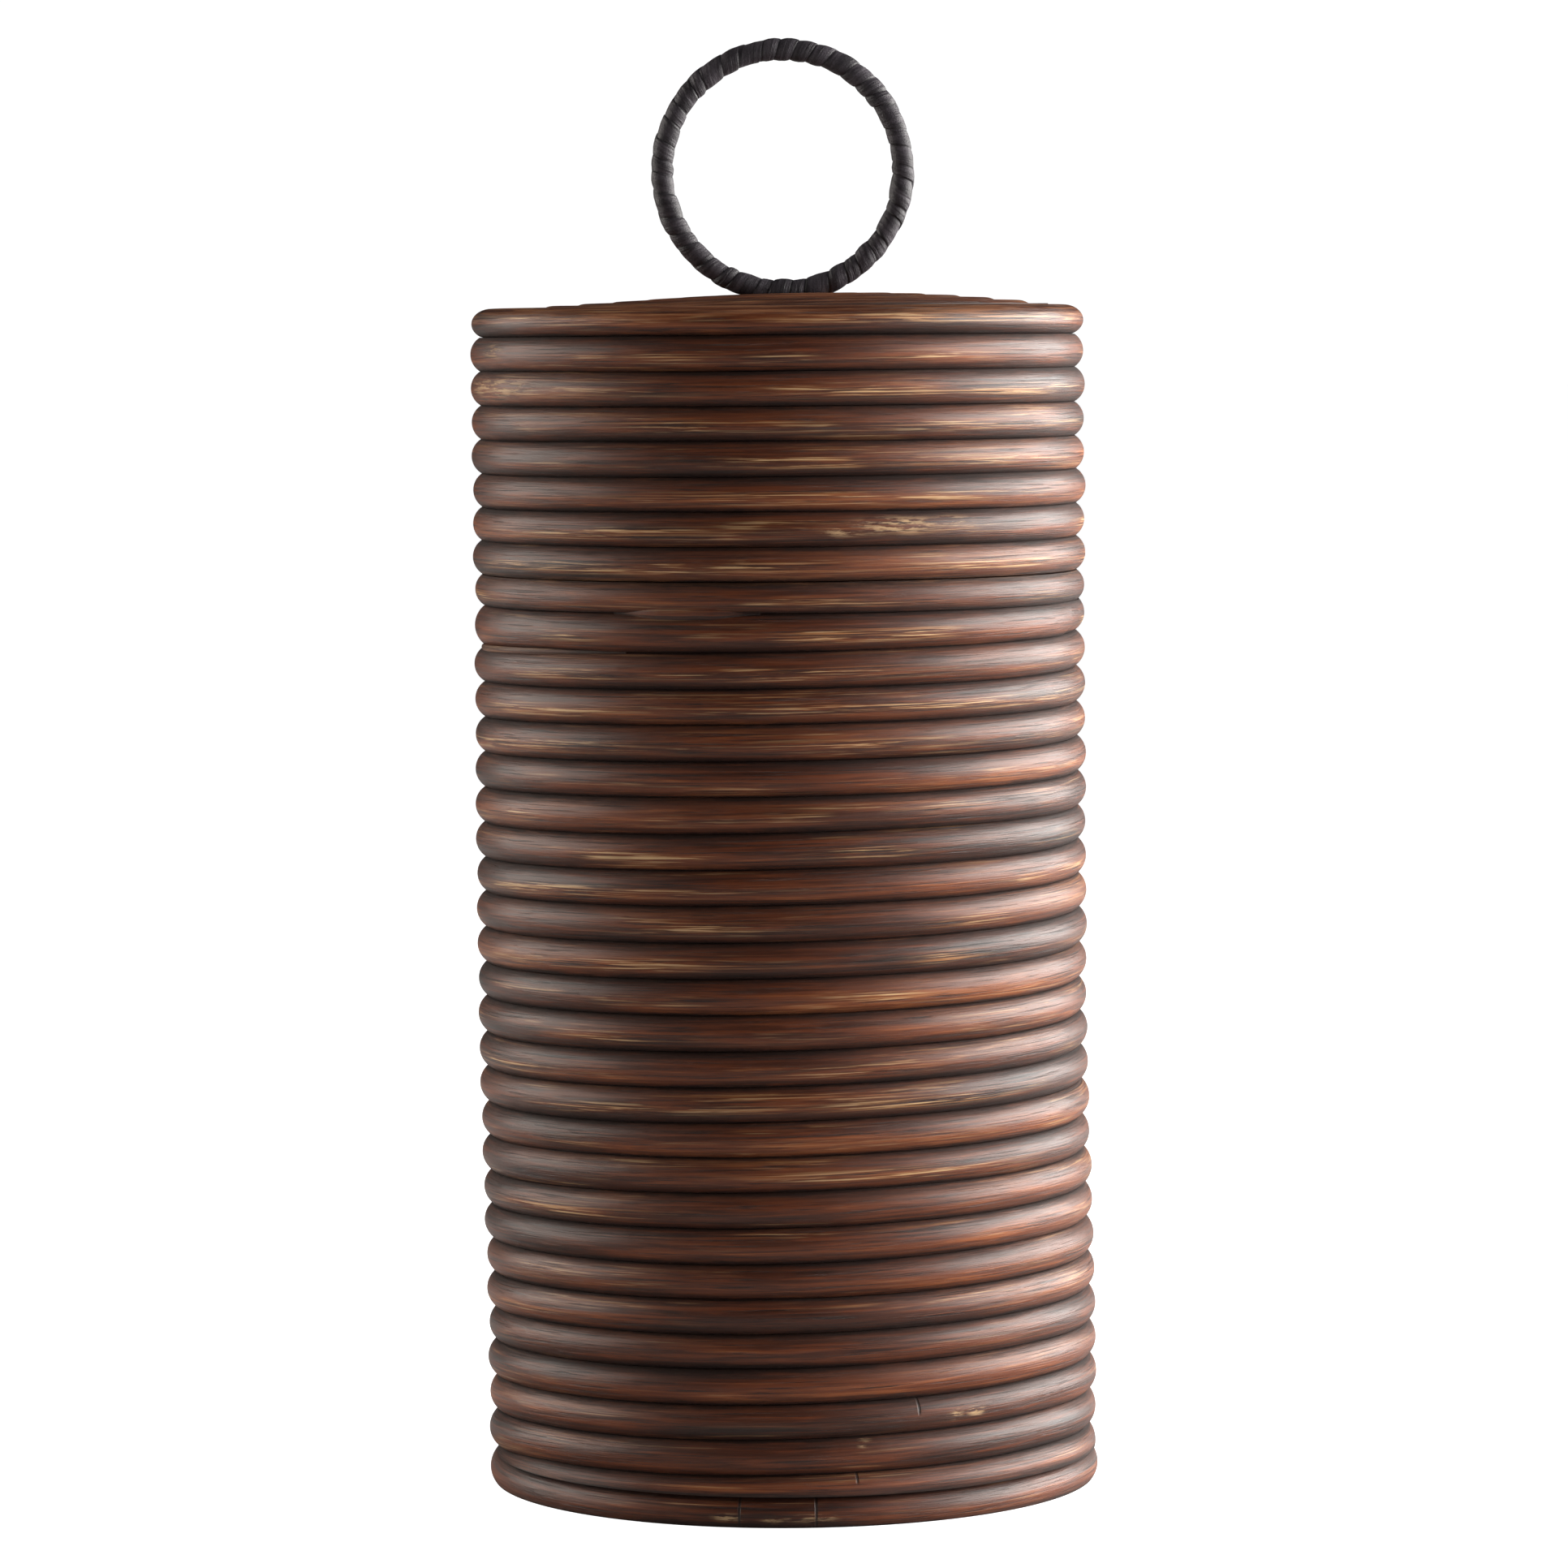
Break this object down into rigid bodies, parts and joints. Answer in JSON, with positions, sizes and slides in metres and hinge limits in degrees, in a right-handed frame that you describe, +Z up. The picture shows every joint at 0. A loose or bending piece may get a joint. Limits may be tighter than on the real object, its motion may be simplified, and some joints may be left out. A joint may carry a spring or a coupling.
{
  "type": "lidded rattan canister",
  "caption": "Tall round container of coiled, dark-stained rattan pole with a deep lift-off lid and an upright ring handle bound in black leather strip.",
  "frame": {"origin": "middle of the underside, on the surface it stands on", "axes": "+Z up along the axis; X across the front, with the handle's ring in the XZ plane; the front faces -Y"},
  "size_m": [0.254, 0.254, 0.5975],
  "materials": {
    "stained_rattan": "dark brown stain under satin lacquer, rubbed lighter along the grain",
    "stained_wood": "turned and stained dark brown, satin",
    "stained_plywood": "thin plywood, stained dark brown, matt",
    "leather_strip": "black, matt, wound with overlaps",
    "steel": "plain bright",
    "brad_heads": "dull, stained over"
  },
  "bodies": {
    "body": {"foot_hoop": "stained_rattan", "base_board": "stained_plywood", "coil_pole_1": "stained_rattan", "coil_pole_2": "stained_rattan", "coil_pole_3": "stained_rattan", "coil_pole_4": "stained_rattan", "coil_pole_5": "stained_rattan", "rim_hoop": "stained_rattan", "body_liner": "stained_plywood", "locating_collar": "stained_plywood", "body_brads": "brad_heads"},
    "lid": {"lid_hoop_1": "stained_rattan", "lid_hoop_2": "stained_rattan", "lid_hoop_3": "stained_rattan", "lid_hoop_4": "stained_rattan", "lid_hoop_5": "stained_rattan", "lid_hoop_6": "stained_rattan", "lid_hoop_7": "stained_rattan", "lid_shoulder_hoop": "stained_rattan", "lid_top_coil": "stained_rattan", "centre_plug": "stained_wood", "lid_board": "stained_plywood", "lid_liner": "stained_plywood", "lid_brads": "brad_heads", "handle_ring": "steel", "handle_wrap": "leather_strip", "handle_stud": "steel", "stud_washer": "steel", "stud_nut": "steel"}
  },
  "joints": [
    {"name": "lid_lift", "type": "slide", "parent": "body", "child": "lid", "axis": [0, 0, 1], "range_m": [0, 0.2]}
  ]
}
